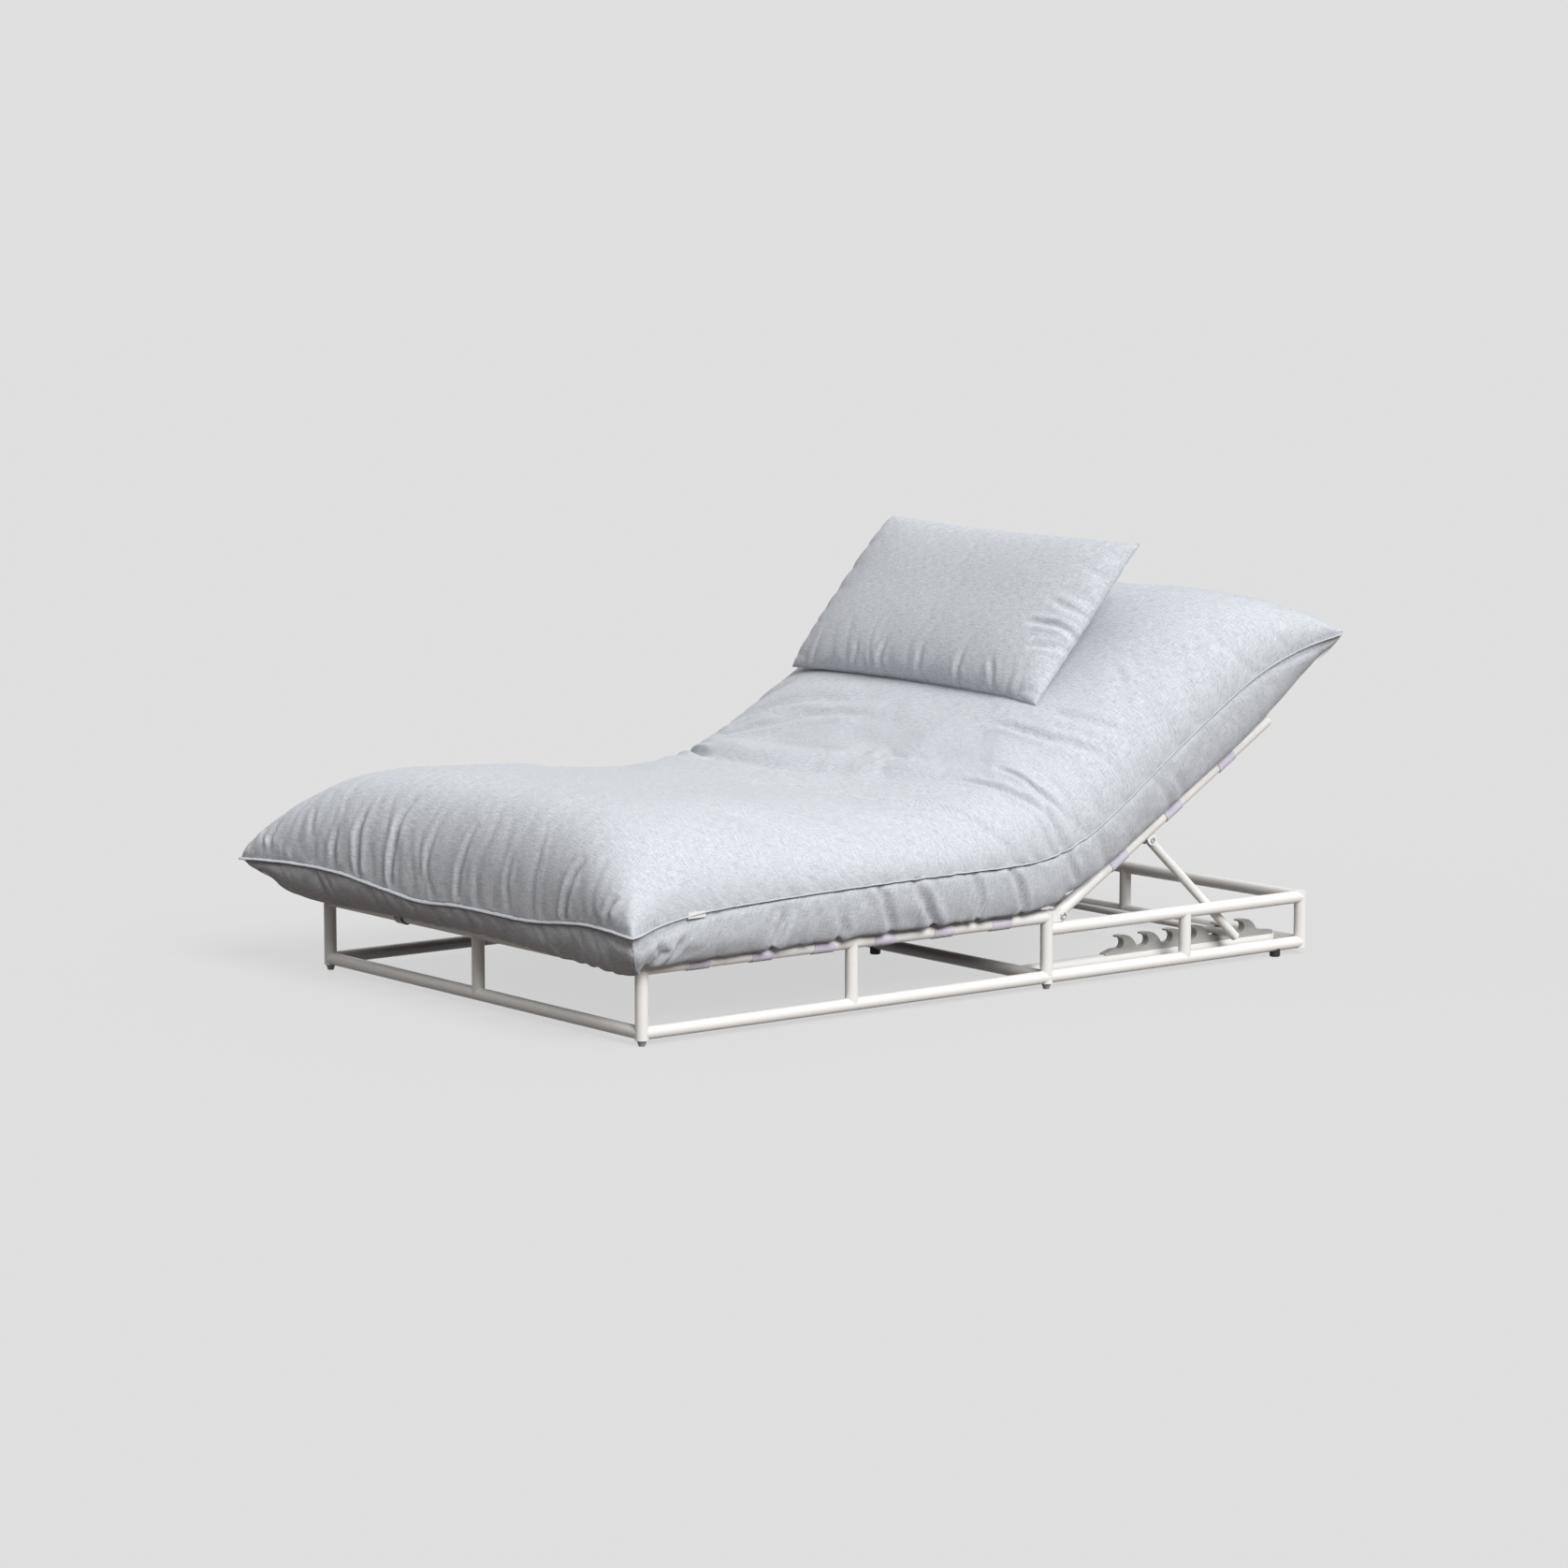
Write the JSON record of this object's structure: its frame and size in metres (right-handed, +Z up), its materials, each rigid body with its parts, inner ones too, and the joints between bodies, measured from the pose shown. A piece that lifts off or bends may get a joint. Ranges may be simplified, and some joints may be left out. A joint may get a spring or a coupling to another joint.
{
  "type": "double chaise lounger",
  "caption": "Low double lounger: white tube frame, webbing straps, thick one-piece pad, pillow and ratchet backrest on a propped bar.",
  "frame": {"origin": "on the floor, under the middle foot below the cross rail that joins the two hinge posts", "axes": "+Y towards the head end, +Z up, +X to the right as seen from the foot end"},
  "size_m": [1.4696, 2.1528, 1.0335],
  "materials": {
    "frame_paint": "satin",
    "strap_webbing": "woven",
    "rack_plastic": "matte",
    "glide_plastic": "matte",
    "insert_plastic": "matte",
    "foot_rubber": "matte",
    "fastener_steel": "zinc plated",
    "pad_fabric": "heather weave",
    "tag_cloth": "plain",
    "hook_plastic": "gloss"
  },
  "bodies": {
    "base": {"bottom_cross_rail": "frame_paint", "centre_foot": "foot_rubber", "foot_glides": "glide_plastic", "foot_screws": "fastener_steel", "front_bottom_rail": "frame_paint", "front_mid_post": "frame_paint", "front_seat_rail": "frame_paint", "glide_inserts": "insert_plastic", "head_mid_post": "frame_paint", "head_rail": "frame_paint", "hinge_bolts": "fastener_steel", "hinge_nuts": "fastener_steel", "hinge_washers": "fastener_steel", "left_front_bottom_rail": "frame_paint", "left_front_post": "frame_paint", "left_hinge_plate": "frame_paint", "left_hinge_post": "frame_paint", "left_mid_post": "frame_paint", "left_rack": "rack_plastic", "left_rack_rail": "frame_paint", "left_rear_bottom_rail": "frame_paint", "left_rear_post": "frame_paint", "left_rear_rail": "frame_paint", "left_rear_side_post": "frame_paint", "left_seat_rail": "frame_paint", "mattress_seat": "pad_fabric", "mattress_tag": "tag_cloth", "rack_screws": "fastener_steel", "rear_bottom_rail": "frame_paint", "rear_feet": "foot_rubber", "right_front_bottom_rail": "frame_paint", "right_front_post": "frame_paint", "right_hinge_plate": "frame_paint", "right_hinge_post": "frame_paint", "right_mid_post": "frame_paint", "right_rack": "rack_plastic", "right_rack_rail": "frame_paint", "right_rear_bottom_rail": "frame_paint", "right_rear_post": "frame_paint", "right_rear_rail": "frame_paint", "right_rear_side_post": "frame_paint", "right_seat_rail": "frame_paint", "seat_cross_rail": "frame_paint", "seat_straps": "strap_webbing", "tie_hook": "hook_plastic"},
    "backrest": {"left_back_tube": "frame_paint", "right_back_tube": "frame_paint", "back_bottom_tube": "frame_paint", "back_top_tube": "frame_paint", "hinge_sleeves": "fastener_steel", "back_straps": "strap_webbing", "left_prop_bracket": "frame_paint", "right_prop_bracket": "frame_paint", "prop_bolts": "fastener_steel", "prop_nuts": "fastener_steel", "mattress_back": "pad_fabric", "pillow": "pad_fabric"},
    "prop": {"left_prop_leg": "frame_paint", "right_prop_leg": "frame_paint", "prop_bar": "frame_paint"}
  },
  "joints": [
    {"name": "backrest_hinge", "type": "hinge", "parent": "base", "child": "backrest", "pos_m": [0, 0.044, 0.17], "axis": [1, 0, 0], "range_deg": [0, 27]},
    {"name": "prop_hinge", "type": "hinge", "parent": "backrest", "child": "prop", "pos_m": [0, 0.34606, 0.31995], "axis": [1, 0, 0], "range_deg": [-39.74, 0]}
  ],
  "couplings": [
    {"joint": "prop_hinge", "follows": "backrest_hinge", "ratio": -1.47}
  ]
}
